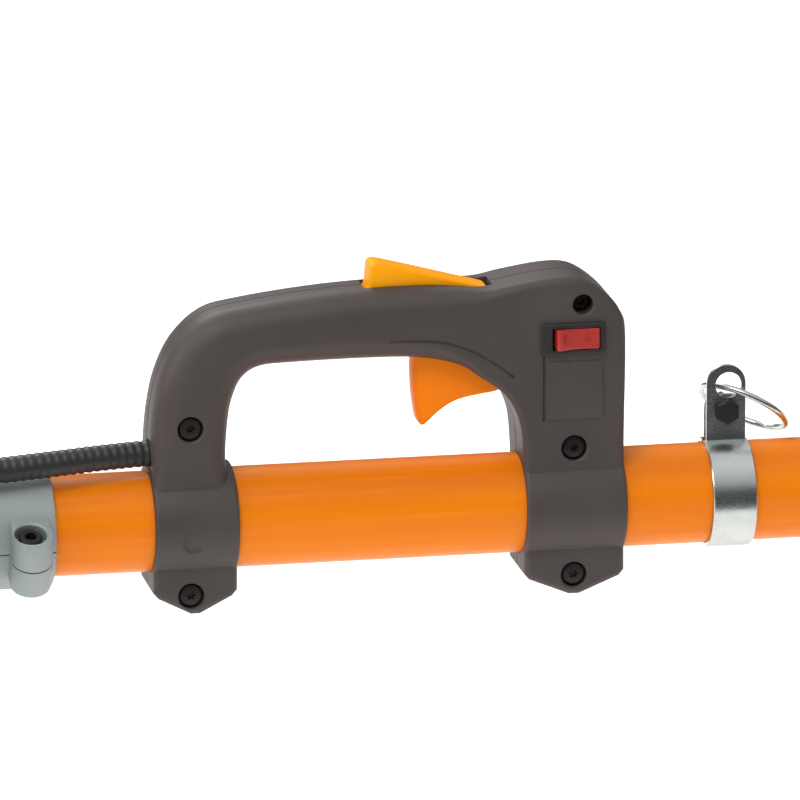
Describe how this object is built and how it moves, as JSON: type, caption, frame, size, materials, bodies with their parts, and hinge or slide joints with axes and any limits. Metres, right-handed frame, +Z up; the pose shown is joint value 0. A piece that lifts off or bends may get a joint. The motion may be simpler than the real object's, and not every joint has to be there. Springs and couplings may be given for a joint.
{
  "type": "telescoping pole saw",
  "caption": "Telescoping petrol pole saw: loop throttle handle, orange tube, harness band and ring, sliding boom with bar and chain head.",
  "frame": {"origin": "bottom centre of the bounding box, on the ground under the middle of the tool", "axes": "+X along the pole towards the saw head, +Y to the side away from the stop switch, +Z up through the loop handle"},
  "size_m": [2.5474, 0.179, 0.241],
  "materials": {
    "orange_tube": "orange pigmented glass fibre, faint lengthwise streaks",
    "orange_plastic": "satin moulded",
    "dark_plastic": "fine grained, warm dark grey",
    "black_plastic": "moulded",
    "red_plastic": "satin moulded",
    "grey_plastic": "moulded",
    "cast_alloy": "sand-grained casting",
    "aluminium": "drawn or cast",
    "steel": "plain",
    "zinc": "bright zinc plated",
    "black_steel": "black oxide",
    "rubber": "black",
    "foam": "closed-cell foam",
    "clear_bulb": "translucent soft bulb",
    "tank_plastic": "translucent off-white"
  },
  "bodies": {
    "pole": {"outer_tube": "orange_tube", "foam_grip": "foam", "outer_tube_bearing": "black_plastic", "telescope_collar": "grey_plastic", "collar_bolt": "steel", "handle_shell_near": "dark_plastic", "handle_shell_far": "dark_plastic", "handle_screw_1": "black_steel", "handle_screw_2": "black_steel", "handle_screw_3": "black_steel", "handle_screw_4": "black_steel", "handle_screw_5": "black_steel", "trigger_spring": "steel", "stop_switch_body": "black_plastic", "cable_conduit": "black_plastic", "harness_band": "zinc", "harness_bolt": "black_steel", "clutch_housing": "cast_alloy", "tube_clamp_screw_1": "black_steel", "tube_clamp_screw_2": "black_steel", "fan_housing": "black_plastic", "crankcase": "cast_alloy", "engine_cylinder": "aluminium", "piston": "aluminium", "spark_plug": "rubber", "engine_cover": "orange_plastic", "carburettor": "aluminium", "filter_base": "black_plastic", "air_filter_cover": "black_plastic", "primer_bulb": "clear_bulb", "muffler": "steel", "muffler_guard": "black_plastic", "starter_housing": "black_plastic", "fuel_tank": "tank_plastic"},
    "saw_boom": {"inner_tube": "aluminium", "inner_tube_bearing": "black_plastic", "saw_gearcase": "cast_alloy", "guide_bar": "zinc", "saw_chain": "steel", "sprocket_cover": "black_plastic", "bar_nut_1": "steel", "bar_nut_2": "steel", "oil_tank": "tank_plastic"},
    "throttle_trigger": {"throttle_trigger": "orange_plastic"},
    "throttle_lockout": {"throttle_lockout": "orange_plastic"},
    "stop_rocker": {"stop_switch_rocker": "red_plastic"},
    "harness_ring": {"harness_ring": "zinc"},
    "collar_lever": {"collar_lever": "orange_plastic"},
    "clutch_and_quill": {"outer_drive_shaft": "steel", "clutch_drum": "steel"},
    "inner_shaft": {"inner_drive_shaft": "steel"},
    "saw_drive": {"output_shaft": "steel", "drive_sprocket": "steel"},
    "crank": {"crankshaft": "steel", "flywheel": "aluminium", "clutch_shoes": "cast_alloy"},
    "choke": {"choke_lever": "orange_plastic"},
    "fuel_cap": {"fuel_cap": "black_plastic"},
    "oil_cap": {"oil_cap": "black_plastic"},
    "starter_grip": {"starter_grip": "black_plastic"}
  },
  "joints": [
    {"name": "telescope_slide", "type": "slide", "parent": "pole", "child": "saw_boom", "axis": [1, 0, 0], "range_m": [0, 1.1]},
    {"name": "throttle_trigger_squeeze", "type": "hinge", "parent": "pole", "child": "throttle_trigger", "pos_m": [-0.76274, 0.0085, 0.174], "axis": [0, 1, 0], "range_deg": [0, 15], "stiffness_Nm_per_rad": 0.5, "springref_deg": -8.59, "deforming": ["trigger_spring"]},
    {"name": "throttle_lockout_press", "type": "hinge", "parent": "pole", "child": "throttle_lockout", "pos_m": [-0.77074, 0.0085, 0.2075], "axis": [0, -1, 0], "range_deg": [0, 9], "stiffness_Nm_per_rad": 0.4, "springref_deg": -8.59},
    {"name": "stop_rocker_tilt", "type": "hinge", "parent": "pole", "child": "stop_rocker", "pos_m": [-0.73444, -0.006, 0.1892], "axis": [0, 0, -1], "range_deg": [0, 14]},
    {"name": "harness_ring_swing", "type": "hinge", "parent": "pole", "child": "harness_ring", "pos_m": [-0.66414, 0.006, 0.1596], "axis": [1, 0, 0], "range_deg": [0, 30]},
    {"name": "collar_lever_swing", "type": "hinge", "parent": "pole", "child": "collar_lever", "pos_m": [0.71126, -0.0065, 0.0755], "axis": [0, 1, 0], "range_deg": [0, 110]},
    {"name": "quill_spin", "type": "hinge", "parent": "pole", "child": "clutch_and_quill", "pos_m": [-0.80874, 0.0085, 0.112], "axis": [1, 0, 0], "continuous": true},
    {"name": "inner_shaft_spin", "type": "hinge", "parent": "saw_boom", "child": "inner_shaft", "pos_m": [0.19126, 0.0085, 0.112], "axis": [1, 0, 0], "continuous": true},
    {"name": "sprocket_spin", "type": "hinge", "parent": "saw_boom", "child": "saw_drive", "pos_m": [0.95126, 0.0085, 0.112], "axis": [0, 1, 0], "continuous": true},
    {"name": "crank_spin", "type": "hinge", "parent": "pole", "child": "crank", "pos_m": [-1.10874, 0.0085, 0.112], "axis": [1, 0, 0], "continuous": true},
    {"name": "choke_turn", "type": "hinge", "parent": "pole", "child": "choke", "pos_m": [-1.24274, -0.0585, 0.17], "axis": [0, -1, 0], "range_deg": [0, 60]},
    {"name": "fuel_cap_turn", "type": "hinge", "parent": "pole", "child": "fuel_cap", "pos_m": [-1.13674, -0.0435, 0.024], "axis": [0, -1, 0], "continuous": true},
    {"name": "oil_cap_turn", "type": "hinge", "parent": "saw_boom", "child": "oil_cap", "pos_m": [0.92126, 0.0455, 0.152], "axis": [0, 0, 1], "continuous": true},
    {"name": "starter_grip_pull", "type": "slide", "parent": "pole", "child": "starter_grip", "axis": [0, -0.6392, 0.769], "range_m": [0, 0.012], "stiffness_N_per_m": 400, "springref_m": -0.01}
  ],
  "couplings": [
    {"joint": "inner_shaft_spin", "follows": "quill_spin", "ratio": 1},
    {"joint": "sprocket_spin", "follows": "quill_spin", "ratio": 0.55}
  ]
}
